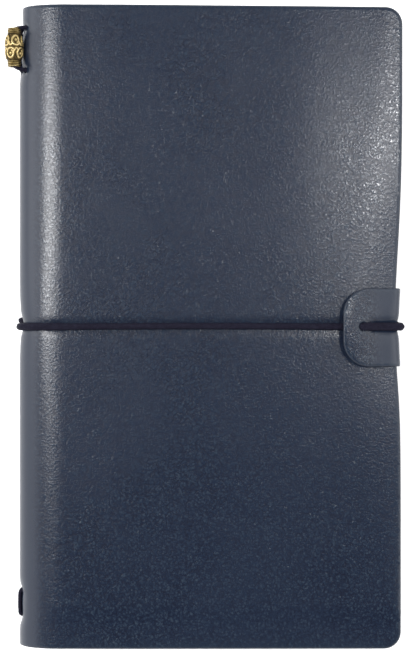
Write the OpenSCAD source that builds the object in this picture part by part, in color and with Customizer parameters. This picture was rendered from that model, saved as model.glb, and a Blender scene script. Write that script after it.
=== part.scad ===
// Refillable leather logbook: a folded cover with a buttonhole tab and an elastic
// closure, and three stapled booklets held in the spine by loops of elastic.
// X runs from the spine (-) to the fore-edge (+), Y towards the head, Z up.
// The book lies closed on its back cover; the origin is the centre of that face.

/* [Cover] */
// Height of the cover, tail to head
cover_h = 203.2; // [198:0.2:210]
// Width of the closed cover, spine to fore-edge
cover_w = 120; // [118:0.5:124]
// Thickness of the leather
leather_t = 1.8; // [1.7:0.1:1.9]
// Radius of the cover's outer corners
corner_r = 5; // [3:0.5:8]
// How far the band draws the fore-edge in
waist = 2.3; // [2:0.1:2.4]

/* [Closure] */
// Diameter of the closure band
band_d = 2; // [1.8:0.1:2.1]
// Width of the tab, along Y
tab_h = 24.1; // [20:0.1:28]
// Length of the tab's flap, from its fold to its tip
tab_len = 17.8; // [17:0.1:20]
// Diameter of the hole in the tab
tab_hole_d = 4.4; // [4.2:0.1:5]

/* [Booklets] */
// Height of a booklet
booklet_h = 184; // [170:1:184]
// Width of a booklet
booklet_w = 108; // [100:0.5:108]
// Thickness of a booklet's card cover
card_t = 0.3; // [0.2:0.05:0.4]

/* [Bead] */
// Length of the bead
bead_len = 12; // [10:0.5:12]
// Largest diameter of the bead
bead_d = 6; // [5:0.1:6]

/* [Hidden] */

$fn = 48;
navy = "#28324c";
ink = "#1b1d2b";
cream = "#f3ecd8";
kraft = "#b58d5c";
steel = "#c8c9cc";
bronze = "#8a7440";

// Cover
book_t = 19;                    // closed thickness at the spine
fore_drop = 2.4;                // the front cover sinks this much towards the fore-edge
spine_r = 6;                    // outer radius of the two bends along the spine
inner_r = spine_r - leather_t;
edge_x = cover_w / 2;
spine_x = -cover_w / 2;
bend_x = spine_x + spine_r;     // centres of the two bends
bend_zs = [spine_r, book_t - spine_r];
bend_gap = 1;                   // half angle left open between two leather parts at a hinge
waist_r = (pow(cover_h * 0.3, 2) + waist * waist) / (2 * waist);

function front_z(x) = book_t - fore_drop * (x - bend_x) / (edge_x - bend_x);

// Tab
tab_t = 1.3;
tab_fit = 0.3;                  // room between the tab and the front cover
tab_end_r = 8;
strap_in = edge_x - waist + tab_fit + 0.1;
strap_out = strap_in + tab_t;
tab_bend_r = tab_t + 0.8;
tab_bend_x = strap_out - tab_bend_r;
tab_under = front_z(tab_bend_x) + tab_fit;
tab_bend_z = tab_under + tab_t - tab_bend_r;
tab_tip = strap_out - tab_len;
tab_hole_x = strap_out - 11.5;
tab_knee = tab_hole_x + 1;      // from its fold the flap rises to here, then runs level
tab_rise = front_z(tab_tip) + band_d + 0.25 - tab_under;

function tab_top(x) = tab_under + tab_t + tab_rise * min(1, (tab_bend_x - x) / (tab_bend_x - tab_knee));

// Closure band
band_r = band_d / 2;
band_rest = band_r + 0.05;      // height of its centre above what it lies on
band_front = [0, 10.6];         // Y and Z of the spine hole that the front run leaves by
band_back = [2.4, 8.4];         // Y and Z of the spine hole that the back run leaves by
band_edge_y = 0.7;              // where it rounds the fore-edge
band_hole_r = band_r + 0.3;
groove_w = band_d + 0.5;
groove_top = band_d + 0.15;
rib_top = groove_top + 0.6;

// Booklets, counted from the plane at which the middle one opens
booklet_t = 4.5;
half_t = booklet_t / 2;
stack_gap = 0.1;
fold_plane = 9.8;
fold_gap = 0.3;                 // the middle booklet's halves stay this far from the plane
paper_gap = 0.05;
booklet_x = spine_x + leather_t + 3.4;
booklet_y = 1.9;
top_drop_b = 0.4;               // the booklets above the plane thin towards the fore-edge
top_drop_a = 2;
booklet_a_z = fold_plane + half_t + stack_gap;
booklet_c_z = fold_plane - half_t - stack_gap - booklet_t;
staple_r = 0.22;
staple_crown = 12;
staple_ys = [-48, 48];
crown_x = booklet_x - staple_r - 0.02;  // outside the fold of a booklet's cover

// Spine elastic: one loop for each booklet
cord_r = 0.8;
cord_x = booklet_x + 1.9;       // in the booklets' folds
return_x = spine_x + 3.25;      // behind the spine
plain_x = spine_x - cord_r - 0.05;
hole_r = cord_r + 0.2;
head_ys = [95.6, 80.6];
tail_ys = [-83.2, -91.8];
hole_z_a = 14.9;
hole_z_b = 12.3;
hole_z_c = 5;

// Bead
bead_out = spine_r + bead_d / 2 + 0.1;                  // from the upper bend's centre
bead_z = bend_zs[1] + spine_r * sin(45);                // level with the front cover's hinge
bead_x = bend_x - sqrt(pow(bead_out, 2) - pow(bead_z - bend_zs[1], 2));
bead_y = (head_ys[0] + head_ys[1]) / 2;

// ---------- shared shapes ----------

// Extrudes an outline drawn in X and Z along Y, between y0 and y1
module along_y(y0, y1) {
    translate([0, y1, 0]) rotate([90, 0, 0]) linear_extrude(y1 - y0) children();
}

// Part of a ring, between two angles
module ring_arc(x, z, outer, inner, a0, a1) {
    far = 1.5 * outer;
    mid = (a0 + a1) / 2;
    translate([x, z]) difference() {
        intersection() {
            circle(outer);
            polygon([
                [0, 0], far * [cos(a0), sin(a0)],
                1.2 * far * [cos(mid), sin(mid)], far * [cos(a1), sin(a1)]
            ]);
        }
        circle(inner);
    }
}

// Plan of a cover board: square at the spine, round at the fore-edge, drawn in at the middle
module board_plan() {
    h = cover_h / 2;
    difference() {
        union() {
            translate([bend_x, -h]) square([edge_x - bend_x - corner_r, cover_h]);
            translate([bend_x, corner_r - h]) square([edge_x - bend_x, cover_h - 2 * corner_r]);
            for (s = [-1, 1]) translate([edge_x - corner_r, s * (h - corner_r)]) circle(corner_r);
        }
        translate([edge_x - waist + waist_r, 0]) circle(waist_r, $fn = 720);
    }
}

// A box along the band's slanting run under the back cover
module band_run(w, x0, x1, z0, z1) {
    run = strap_in - bend_x;
    translate([bend_x, band_back[0], 0]) rotate([0, 0, atan((band_edge_y - band_back[0]) / run)])
        translate([x0 - bend_x, -w / 2, z0]) cube([x1 - x0, w, z1 - z0]);
}

module spine_hole(y, z, r) {
    translate([spine_x - 1, y, z]) rotate([0, 90, 0]) cylinder(r = r, h = 5);
}

function unit(v) = v / norm(v);
function heading(p, i) = unit(p[min(i + 1, len(p) - 1)] - p[max(i - 1, 0)]);
function ring(p, i, r, up, sides) =
    let (t = heading(p, i), u = unit(cross(t, up)), v = cross(t, u))
    [for (k = [0:sides - 1]) p[i] + r * (cos(360 * k / sides) * u + sin(360 * k / sides) * v)];

// A round cord along a route that never runs parallel to up
module cord(route, r, up, sides = 8) {
    n = len(route);
    points = [for (i = [0:n - 1]) each ring(route, i, r, up, sides)];
    skin = [
        for (i = [0:n - 2], k = [0:sides - 1])
            let (a = i * sides + k, b = i * sides + (k + 1) % sides)
            [a, b, b + sides, a + sides]
    ];
    caps = [[for (k = [sides - 1:-1:0]) k], [for (k = [0:sides - 1]) (n - 1) * sides + k]];
    polyhedron(points, concat(skin, caps), convexity = 6);
}

function arc_route(x, z, r, a0, a1, steps, y) =
    [for (i = [0:steps]) let (a = a0 + (a1 - a0) * i / steps) [x + r * cos(a), y, z + r * sin(a)]];

// ---------- cover ----------

module back_cover() {
    h = cover_h / 2;
    color(navy) difference() {
        union() {
            linear_extrude(leather_t) board_plan();
            along_y(-h, h) ring_arc(bend_x, bend_zs[0], spine_r, inner_r, 225 + bend_gap, 270);
            band_run(groove_w + 2.4, bend_x - 2.6, edge_x - waist - 0.2, leather_t - 0.1, rib_top);
        }
        band_run(groove_w, spine_x - 2, edge_x + 2, -1, groove_top);
    }
}

module cover_spine() {
    h = cover_h / 2;
    color(navy) difference() {
        along_y(-h, h) {
            ring_arc(bend_x, bend_zs[0], spine_r, inner_r, 180, 225 - bend_gap);
            ring_arc(bend_x, bend_zs[1], spine_r, inner_r, 135 + bend_gap, 180);
            translate([spine_x, bend_zs[0]]) square([leather_t, bend_zs[1] - bend_zs[0]]);
        }
        for (y = concat(head_ys, tail_ys), z = [hole_z_a, hole_z_b, hole_z_c]) spine_hole(y, z, hole_r);
        for (yz = [band_front, band_back]) spine_hole(yz[0], yz[1], band_hole_r);
        band_run(groove_w, spine_x - 2, bend_x, -1, groove_top);
    }
}

module front_cover() {
    h = cover_h / 2;
    color(navy) {
        intersection() {
            along_y(-h, h) polygon([
                [bend_x, book_t], [edge_x, front_z(edge_x)],
                [edge_x, front_z(edge_x) - leather_t], [bend_x, book_t - leather_t]
            ]);
            linear_extrude(book_t + 1) board_plan();
        }
        along_y(-h, h) ring_arc(bend_x, bend_zs[1], spine_r, inner_r, 90, 135 - bend_gap);
    }
}

// ---------- closure ----------

// The part of the tab that stands up against the fore-edge, in one with the back cover
module closure_strap() {
    h = tab_h / 2;
    foot_x = edge_x - waist + 0.15;
    color(navy) difference() {
        along_y(-h, h) {
            translate([strap_in, 0]) square([tab_t, tab_bend_z]);
            translate([foot_x, 0]) square([strap_in - foot_x, leather_t]);
            ring_arc(tab_bend_x, tab_bend_z, tab_bend_r, tab_bend_r - tab_t, 0, 45 - 2 * bend_gap);
        }
        band_run(groove_w, foot_x - 1, edge_x + 2, -1, groove_top + 2);
    }
}

// The flap: a tongue with a round end that lies over the front cover and the band
module closure_tab() {
    h = tab_h / 2;
    color(navy) difference() {
        union() {
            along_y(-h, h)
                ring_arc(tab_bend_x, tab_bend_z, tab_bend_r, tab_bend_r - tab_t, 45 + 2 * bend_gap, 90);
            intersection() {
                along_y(-h, h) polygon([
                    for (x = [tab_bend_x, tab_knee, tab_tip]) [x, tab_top(x)],
                    for (x = [tab_tip, tab_knee, tab_bend_x]) [x, tab_top(x) - tab_t]
                ]);
                linear_extrude(2 * book_t) {
                    translate([tab_tip + tab_end_r, -h]) square([tab_bend_x - tab_tip - tab_end_r, tab_h]);
                    translate([tab_tip, tab_end_r - h]) square([tab_end_r + 1, tab_h - 2 * tab_end_r]);
                    for (s = [-1, 1]) translate([tab_tip + tab_end_r, s * (h - tab_end_r)]) circle(tab_end_r);
                }
            }
        }
        translate([tab_hole_x, 0, 0]) cylinder(d = tab_hole_d, h = 2 * book_t);
    }
}

wall_x = strap_out + band_rest;
back_x = spine_x - band_rest;
band_in_x = spine_x + leather_t + 0.6;
band_route = concat(
    // out of the spine and round its upper bend
    [for (x = [band_in_x, spine_x + 0.8, spine_x - 0.3]) [x, band_front[0], band_front[1]]],
    [[back_x + 0.1, band_front[0], band_front[1] + 0.8]],
    arc_route(bend_x, bend_zs[1], spine_r + band_rest, 180, 92, 7, 0),
    // across the front cover and under the tab
    [for (x = [-30, 10, tab_tip - 2, tab_tip + 2.9]) [x, 0, front_z(x) + band_rest]],
    // up through the hole and over the tab
    [[tab_hole_x - 1.3, 0, front_z(tab_hole_x) + band_rest + 0.4], [tab_hole_x - 0.3, 0, tab_top(tab_hole_x) - 0.9]],
    [[tab_hole_x + 0.6, 0, tab_top(tab_hole_x) + 0.5], [tab_hole_x + 2.3, 0, tab_top(tab_hole_x + 2.3) + 1.2]],
    [for (x = [tab_hole_x + 5, tab_bend_x - 0.5]) [x, 0, tab_top(x) + band_rest]],
    arc_route(tab_bend_x, tab_bend_z, tab_bend_r + band_rest, 80, 0, 5, 0),
    // down the fore-edge, under the back cover and up into the spine again
    [[wall_x, 0.3, 11], [wall_x, band_edge_y, 4.4], [wall_x - 0.4, band_edge_y, 2.6]],
    [[wall_x - 1.4, band_edge_y, 1.5], [strap_in - 0.6, band_edge_y, band_rest]],
    [for (x = [bend_x, bend_x - 4.4]) [x, band_back[0], band_rest]],
    [[bend_x - 5.6, band_back[0], 1.5]],
    arc_route(bend_x, bend_zs[0], spine_r + band_rest, 208, 180, 2, band_back[0]),
    [[back_x + 0.1, band_back[0], band_back[1] - 0.8]],
    [for (x = [spine_x - 0.3, spine_x + 0.8, band_in_x]) [x, band_back[0], band_back[1]]]
);

module closure_band() {
    color(ink) cord(band_route, band_r, [0, 1, 0]);
}

// The band's two ends are knotted together behind the spine
module band_knot() {
    knot_r = 1.15;
    knot_h = 4.2;
    knot_x = band_in_x + knot_r + 0.1;
    color(ink) translate([knot_x, (band_front[0] + band_back[0]) / 2, (band_front[1] + band_back[1]) / 2]) {
        cylinder(r = knot_r, h = knot_h - 2 * knot_r, center = true);
        for (s = [-1, 1]) translate([0, 0, s * (knot_h / 2 - knot_r)]) sphere(knot_r);
    }
}

// ---------- elastic that holds the booklets ----------

// The short run outside the spine between two holes, bowed out to (x, z)
function outer_run(y0, y1, hole_z, x, z) =
    let (s = sign(y1 - y0), mid_x = (x + spine_x) / 2 - 0.1, mid_z = (z + hole_z) / 2)
    [
        [spine_x + 0.1, y0, hole_z], [mid_x, y0 + 0.25 * s, mid_z], [x, y0 + 1.3 * s, z],
        [x, y1 - 1.3 * s, z], [mid_x, y1 - 0.25 * s, mid_z], [spine_x + 0.1, y1, hole_z]
    ];

// One loop: down the booklet's fold, out and in at the tail, up behind the spine,
// then out and in at the head
function loop_route(fold_z, hole_z, x, z) =
    let (joint_y = 20, in_x = spine_x + 2.6)
    concat(
        [for (y = [joint_y - 0.3, tail_ys[1] + 0.9]) [cord_x, y, fold_z]],
        [[cord_x - 0.9, tail_ys[1], fold_z], [in_x + 1, tail_ys[1] - 0.1, (fold_z + hole_z) / 2]],
        [[in_x, tail_ys[1], hole_z]],
        outer_run(tail_ys[1], tail_ys[0], hole_z, plain_x, hole_z),
        [[in_x, tail_ys[0], hole_z], [return_x, tail_ys[0] + 1.6, hole_z]],
        [[return_x, head_ys[1] - 1.6, hole_z], [in_x, head_ys[1], hole_z]],
        outer_run(head_ys[1], head_ys[0], hole_z, x, z),
        [[in_x, head_ys[0], hole_z], [in_x + 1, head_ys[0] + 0.1, (fold_z + hole_z) / 2]],
        [[cord_x - 0.9, head_ys[0], fold_z]],
        [for (y = [head_ys[0] - 0.9, joint_y]) [cord_x, y, fold_z]]
    );

module spine_elastic(fold_z, hole_z, x = plain_x, z = 0) {
    color(ink) cord(loop_route(fold_z, hole_z, x, z > 0 ? z : hole_z), cord_r, [0, 0, 1]);
}

// Antique bead: a barrel between two ringed collars, free to turn on its elastic
module charm_bead() {
    r = bead_d / 2;
    collar = 1.6;
    collar_r = r - 0.65;
    barrel_h = bead_len / 2 - collar;
    steps = 8;
    color(bronze) translate([bead_x, bead_y, bead_z]) rotate([90, 0, 0]) difference() {
        union() {
            rotate_extrude() polygon([
                [0, -barrel_h],
                for (i = [0:steps]) [collar_r + (r - collar_r) * sin(180 * i / steps), barrel_h * (2 * i / steps - 1)],
                [0, barrel_h]
            ]);
            for (s = [-1, 1], k = [0:2])
                translate([0, 0, s * (barrel_h + (k + 0.5) * collar / 3)])
                    cylinder(r = collar_r - (k == 1 ? 0.25 : 0), h = collar / 3 + 0.02, center = true);
        }
        cylinder(r = cord_r + 0.3, h = bead_len + 2, center = true);
    }
}

// ---------- booklets ----------

// A layer that lies between two heights at its fold and sinks towards the fore-edge
module layer(x0, x1, z0, z1, drop0, drop1, extra = 0) {
    h = booklet_h / 2 + extra;
    along_y(booklet_y - h, booklet_y + h)
        polygon([[x0, z0], [x1, z0 - drop0], [x1, z1 - drop1], [x0, z1]]);
}

module staple_legs(z, r, reach, x = crown_x) {
    for (y = staple_ys, s = [-1, 1])
        translate([x, booklet_y + y + s * (staple_crown / 2 - staple_r), z])
            rotate([0, 90, 0]) cylinder(r = r, h = reach, $fn = 24);
}

// Two wire staples: crowns along the fold, legs pushed through it
module staples(z, x = crown_x) {
    color(steel) {
        staple_legs(z, staple_r, 0.9, x);
        for (y = staple_ys)
            translate([x, booklet_y + y + staple_crown / 2, z])
                rotate([90, 0, 0]) cylinder(r = staple_r, h = staple_crown, $fn = 24);
    }
}

// A card cover folded round its leaves
module folded_card(z, drop0, drop1) {
    color(kraft) difference() {
        layer(booklet_x, booklet_x + booklet_w, z, z + booklet_t, drop0, drop1);
        layer(booklet_x + card_t, booklet_x + booklet_w + 1, z + card_t, z + booklet_t - card_t, drop0, drop1, 1);
        staple_legs(z + half_t, staple_r + 0.05, 2);
    }
}

module leaf_block(z, drop0, drop1) {
    inset = card_t + paper_gap;
    color(cream) difference() {
        layer(booklet_x + inset, booklet_x + booklet_w - 0.5, z + inset, z + booklet_t - inset, drop0, drop1);
        staple_legs(z + half_t, staple_r + 0.05, 2);
        translate([cord_x, booklet_y, z + half_t]) rotate([90, 0, 0])
            cylinder(r = cord_r + 0.15, h = booklet_h + 2, center = true);
    }
}

// Half of the middle booklet's card cover; side is 1 above the opening and -1 below it
module half_card(side, drop) {
    h = booklet_h / 2;
    x1 = booklet_x + booklet_w;
    color(kraft) along_y(booklet_y - h, booklet_y + h) polygon([
        [booklet_x, fold_plane + side * fold_gap], [booklet_x, fold_plane + side * half_t],
        [x1, fold_plane + side * (half_t - drop)], [x1, fold_plane + side * (half_t - drop - card_t)],
        [booklet_x + card_t, fold_plane + side * (half_t - card_t)],
        [booklet_x + card_t, fold_plane + side * fold_gap]
    ]);
}

// Half of the middle booklet's leaves, bevelled along the gutter where its elastic lies
module half_leaves(side, drop) {
    h = booklet_h / 2;
    x0 = booklet_x + card_t + paper_gap;
    x1 = booklet_x + booklet_w - 0.5;
    depth = half_t - card_t - paper_gap;
    gutter = cord_r + 0.35;
    color(cream) along_y(booklet_y - h, booklet_y + h) polygon([
        [x0, fold_plane + side * gutter], [cord_x, fold_plane + side * gutter],
        [cord_x + 3, fold_plane + side * paper_gap], [x1, fold_plane + side * paper_gap],
        [x1, fold_plane + side * (depth - drop)], [x0, fold_plane + side * depth]
    ]);
}

back_cover();
cover_spine();
front_cover();
closure_strap();
closure_tab();
closure_band();
band_knot();
spine_elastic(booklet_a_z + half_t, hole_z_a, bead_x, bead_z);  // spine_elastic_a
spine_elastic(fold_plane, hole_z_b);  // spine_elastic_b
spine_elastic(booklet_c_z + half_t, hole_z_c);  // spine_elastic_c
charm_bead();
folded_card(booklet_a_z, top_drop_b, top_drop_a);  // booklet_a_cover
leaf_block(booklet_a_z, top_drop_b, top_drop_a);  // booklet_a_leaves
staples(booklet_a_z + half_t);  // booklet_a_staples
half_card(1, top_drop_b);  // booklet_b_cover_front
half_card(-1, 0);  // booklet_b_cover_back
half_leaves(1, top_drop_b);  // booklet_b_leaves_front
half_leaves(-1, 0);  // booklet_b_leaves_back
staples(fold_plane, booklet_x);  // booklet_b_staples
folded_card(booklet_c_z, 0, 0);  // booklet_c_cover
leaf_block(booklet_c_z, 0, 0);  // booklet_c_leaves
staples(booklet_c_z + half_t);  // booklet_c_staples
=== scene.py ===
import math

import bmesh
import bpy
import numpy as np
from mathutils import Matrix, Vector
from mathutils.geometry import delaunay_2d_cdt


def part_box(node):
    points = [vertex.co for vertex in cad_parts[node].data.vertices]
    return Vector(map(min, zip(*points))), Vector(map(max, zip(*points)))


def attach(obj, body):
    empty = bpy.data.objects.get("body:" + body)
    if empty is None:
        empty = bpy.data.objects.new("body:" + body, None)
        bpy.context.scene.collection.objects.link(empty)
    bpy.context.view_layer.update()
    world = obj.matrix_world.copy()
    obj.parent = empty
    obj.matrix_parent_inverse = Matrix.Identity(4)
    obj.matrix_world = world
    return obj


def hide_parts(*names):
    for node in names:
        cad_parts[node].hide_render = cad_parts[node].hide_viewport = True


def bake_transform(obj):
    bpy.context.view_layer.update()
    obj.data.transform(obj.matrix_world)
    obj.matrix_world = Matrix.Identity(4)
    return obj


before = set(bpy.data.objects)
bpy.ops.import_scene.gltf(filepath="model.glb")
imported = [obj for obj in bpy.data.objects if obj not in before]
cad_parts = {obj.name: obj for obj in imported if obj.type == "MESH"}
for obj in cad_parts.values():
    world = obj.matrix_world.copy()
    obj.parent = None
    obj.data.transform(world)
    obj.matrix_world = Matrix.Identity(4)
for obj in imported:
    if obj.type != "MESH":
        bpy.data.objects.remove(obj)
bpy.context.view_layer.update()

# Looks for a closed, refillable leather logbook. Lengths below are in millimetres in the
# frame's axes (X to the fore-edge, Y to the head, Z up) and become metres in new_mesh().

MM = 0.001
RANDOM = np.random.default_rng(7)


# ---------------------------------------------------------------- sizes from the frame

def box_mm(node):
    low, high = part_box(node)
    return np.array(low) / MM, np.array(high) / MM


spine_low = box_mm("cover_spine")[0]
front_low, front_high = box_mm("front_cover")
tab_low, tab_high = box_mm("closure_tab")
bead_low, bead_high = box_mm("charm_bead")
strap_high = box_mm("closure_strap")[1]

LEATHER = 1.8
SPINE_X = spine_low[0]
EDGE_X = front_high[0]
HALF_H = front_high[1]
TOP_Z = front_high[2]
EDGE_Z = front_low[2] + LEATHER
MID_Z = TOP_Z / 2
LEATHER_X = SPINE_X - 1.15           # the leather bellies out behind the booklets
ROUND_X = SPINE_X + 14.0             # the spine's rounding ends here, on the flat covers
ROUND_W = ROUND_X - LEATHER_X
ROUND_POWER = 2.2
SKEW = 0.004                         # the front cover has crept this much towards the tail
CORNER_R = 5.0
RIM = 0.35                           # how far the rounded cut edge stands out
HOLE_RIM = 0.12
EDGE_STEP = 1.5                      # spacing of the points along a cover's edges

TAB_T = 1.3
TAB_HALF = tab_high[1] + 0.35
TAB_Y = -0.25                        # the tab's middle line sits a little below the band
TAB_TIP = tab_low[0]
STRAP_X = strap_high[0] + 0.65       # the strap bows out over the fore-edge
TAB_BEND = 2.1                       # outer radius of the tab's fold
TAB_BEND_X = STRAP_X - TAB_BEND
TAB_GAP = 0.3                        # least room between the flap and the front cover
FOOT_BEND = 1.6                      # outer radius where the strap leaves the back cover
TAB_END_R = 8.0
HOLE_X = strap_high[0] - 11.5
HOLE_R = 1.3

BAND_R = 1.0
BAND_REST = BAND_R + 0.03            # height of its centre above what it lies on
BAND_FRONT = (0.0, 10.6)             # Y and Z of the holes that the closure band comes out of
BAND_BACK = (2.0, 8.4)
BAND_EDGE_Y = 0.7                    # where the band rounds the fore-edge
BAND_SUNK = 2.15                     # depth of its channel in the back cover
THINNED = 1.2                        # and how much thinner the leather is over the channel
HEAD_HOLES = (94.85, 81.35)          # Y of the spine elastics' holes
TAIL_HOLES = (-84.2, -91.9)
CORD_R = 0.66
LOOP_Z = {"a": 14.9, "b": 12.3, "c": 5.0}    # height of each spine elastic inside the spine
TAIL_Z = {"a": 11.2, "b": 8.4, "c": 5.0}     # and of its two holes at the tail

BOOKLETS = {k: box_mm(f"booklet_{k}_cover") for k in "ac"}
half_front = box_mm("booklet_b_cover_front")
half_back = box_mm("booklet_b_cover_back")
FOLD_X = half_back[0][0]
PAGE_X = half_back[1][0]
FOLD_PLANE = (half_front[0][2] + half_back[1][2]) / 2
BOOK_LOW, BOOK_HIGH = half_back[0][1], half_back[1][1]
CARD = 0.3
CARD_IN = 0.16                       # the card's middle lies this far inside the booklet
SHEET_TRIM = 0.8                     # the leaves end this far inside the card
BOOKLET_DEPTH = 2.25                 # half of a booklet's thickness


# ---------------------------------------------------------------- small maths

def smooth(t):
    """From 0 to 1 with no corner at either end."""
    t = np.clip(t, 0, 1)
    return t * t * (3 - 2 * t)


def bell(v, width):
    """1 at v = 0, falling to about a third at the width."""
    return np.exp(-((v / width) ** 2))


def pinch_in(y):
    """How far the closure band draws the fore-edge in."""
    y = np.asarray(y, float)
    upper = 2.2 * bell(y, 34) - 0.76
    lower = 2.0 * bell(y, 22) + 0.30 * smooth(-y / 45) - 0.56
    return np.where(y > 0, upper, lower)


def edge_x(y):
    """X of the front and back covers' fore-edge, without its rounded rim."""
    return EDGE_X - RIM - pinch_in(y)


def swell(x, y):
    """Gentle unevenness of the front cover, and the marks that the closure leaves in it."""
    # slow waves in the board, none over the spine's rounding
    waves = 0.10 * np.sin(x / 17 + 0.6) * np.sin(y / 29 + 1.1) + 0.07 * np.sin(x / 41 - y / 23)
    waves = waves * smooth((x - ROUND_X) / 20)
    # the band presses a shallow channel and draws the fore-edge down at the tab
    band_mark = -0.28 * bell(y, 1.9) * smooth((x + 60) / 12)
    drawn = -0.2 * bell(x - EDGE_X, 8) * bell(y, 20)
    # the cover rolls over towards the fore-edge, sooner near the band
    roll_x = 40 + np.where(y > 0, 0.15, 0.22) * np.abs(y)
    roll = np.clip((x - roll_x) / (EDGE_X - roll_x), 0, 1.1) ** 2
    lip = -(0.25 + 0.6 * bell(y - 18, 38)) * roll
    # a dip round the tab and a low crest above it, which carries the highlight
    shoulder = -0.55 * bell(x - EDGE_X + 2, 26) * bell(y - 4, 30)
    crest = 0.35 * bell(x - EDGE_X + 30, 16) * bell(y - 62, 44)
    return waves + band_mark + drawn + lip + 0.5 * shoulder + crest


def front_top(x, y=0.0):
    """Height of the front cover's outer face."""
    share = np.clip((x - ROUND_X) / (EDGE_X - ROUND_X), 0, 1)
    return TOP_Z - (TOP_Z - EDGE_Z) * share ** 1.5 + swell(x, y)


def fold_centre_z():
    """Height of the centre of the tab's fold."""
    return front_top(TAB_BEND_X) + TAB_T + TAB_GAP - TAB_BEND


def round_x(z):
    """X of the spine's outer face at a height."""
    share = np.clip(np.abs(z - MID_Z) / MID_Z, 0, 1)
    return ROUND_X - ROUND_W * (1 - share ** ROUND_POWER) ** (1 / ROUND_POWER)


# ---------------------------------------------------------------- meshes

def new_mesh(name, verts, faces, materials, face_materials=None, flat=False):
    """A mesh object from points in millimetres, with normals facing out."""
    mesh = bpy.data.meshes.new(name)
    mesh.from_pydata((np.asarray(verts) * MM).tolist(), [], faces)
    if face_materials is not None:
        mesh.polygons.foreach_set("material_index", np.asarray(face_materials, np.int32))
    work = bmesh.new()
    work.from_mesh(mesh)
    bmesh.ops.recalc_face_normals(work, faces=work.faces)
    work.to_mesh(mesh)
    work.free()
    mesh.polygons.foreach_set("use_smooth", [not flat] * len(mesh.polygons))
    for m in materials:
        mesh.materials.append(m)
    piece = bpy.data.objects.new(name, mesh)
    bpy.context.scene.collection.objects.link(piece)
    return piece


def point_value(piece, name, values):
    attribute = piece.data.attributes.new(name, "FLOAT", "POINT")
    attribute.data.foreach_set("value", np.asarray(values, np.float32))


def profile(points, side):
    """A path in X and Z by arc length; side gives which way its outer face looks."""
    points = np.array(points, float)
    step = np.hypot(*np.diff(points, axis=0).T)
    points = points[np.concatenate([[True], step > 1e-6])]
    length = np.concatenate([[0], np.cumsum(np.hypot(*np.diff(points, axis=0).T))])
    tangent = np.gradient(points, length, axis=0)
    tangent /= np.linalg.norm(tangent, axis=1)[:, None]

    def at(s):
        x, z, tx, tz = (np.interp(s, length, v) for v in (*points.T, *tangent.T))
        size = np.hypot(tx, tz)
        return x, z, tx / size, tz / size, -side * tz / size, side * tx / size

    at.length = length[-1]
    at.s_of_x = lambda x: np.interp(x, points[:, 0], length)   # only where the path runs to +X
    return at


def on_path(spot, rise, y, follow=0.0):
    """Points risen off a path, with their outward normals and their directions along it."""
    x, z, tx, tz, nx, nz = spot
    level = np.zeros_like(x)
    outer = np.stack([x + nx * rise, y, z + nz * rise + follow], axis=1)
    return outer, np.stack([nx, level, nz], axis=1), np.stack([tx, level, tz], axis=1)


def arc(cx, cz, r, a0, a1, steps=24):
    """Points of a round bend, from one angle to another in degrees."""
    angles = np.radians(np.linspace(a0, a1, steps))
    return [(cx + r * math.cos(a), cz + r * math.sin(a)) for a in angles]


def line(p, q, step=1.0):
    """Points of a straight stretch, both ends with it."""
    count = max(2, int(math.dist(p, q) / step) + 1)
    return [tuple(v) for v in np.linspace(p, q, count)]


def inside(points, loop):
    """Which points lie inside a closed loop."""
    x, y = points[:, 0][:, None], points[:, 1][:, None]
    x0, y0 = loop.T
    x1, y1 = np.roll(loop, -1, axis=0).T
    crosses = (y0 > y) != (y1 > y)
    with np.errstate(divide="ignore", invalid="ignore"):
        at = x0 + (y - y0) * (x1 - x0) / (y1 - y0)
    return (crosses & (x < at)).sum(axis=1) % 2 == 1


def clearance(points, others):
    """Distance from each point to the nearest of the others."""
    return np.array([np.min(np.hypot(*(others - p).T)) for p in points])


def sheet_points(loops, lines_s, lines_y):
    """The rims' own points, then a ring inside the outline, a grid and rings round the holes."""
    rim_points = np.concatenate(loops)
    grid = np.array([(s, y) for s in lines_s for y in lines_y])
    grid = grid[inside(grid, loops[0])]
    turns = np.linspace(0, 2 * math.pi, 14, endpoint=False)
    for hole in loops[1:]:
        centre = hole.mean(axis=0)
        radius = np.hypot(*(hole[0] - centre))
        grid = grid[np.hypot(*(grid - centre).T) > radius * 2.6]
        for k in (1.45, 2.1):
            ring = centre + radius * k * np.stack([np.cos(turns + k), np.sin(turns + k)], axis=1)
            grid = np.concatenate([grid, ring])
    heading = np.roll(loops[0], -1, axis=0) - np.roll(loops[0], 1, axis=0)
    inward = np.stack([-heading[:, 1], heading[:, 0]], axis=1)
    ring = loops[0] + 0.9 * (inward / np.linalg.norm(heading, axis=1)[:, None])
    ring = ring[inside(ring, loops[0]) & (clearance(ring, rim_points) > 0.75)]
    grid = grid[clearance(grid, np.concatenate([rim_points, ring])) > 0.55]
    return np.concatenate([rim_points, ring, grid])


def triangulated(points, loops):
    """The flat points and triangles between the loops, and where each point given went."""
    edges, at = [], 0
    for loop in loops:
        edges += [(at + i, at + (i + 1) % len(loop)) for i in range(len(loop))]
        at += len(loop)
    flat, _, triangles, origin, _, _ = delaunay_2d_cdt(
        [Vector(p) for p in points], edges, [], 0, 1e-5)
    flat = np.array([tuple(p) for p in flat])
    triangles = np.array([t for t in triangles if len(t) == 3])
    middle = flat[triangles].mean(axis=1)
    keep = inside(middle, loops[0])
    for hole in loops[1:]:
        keep &= ~inside(middle, hole)
    found = {source: i for i, sources in enumerate(origin) for source in sources}
    return flat, triangles[keep], found


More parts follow.
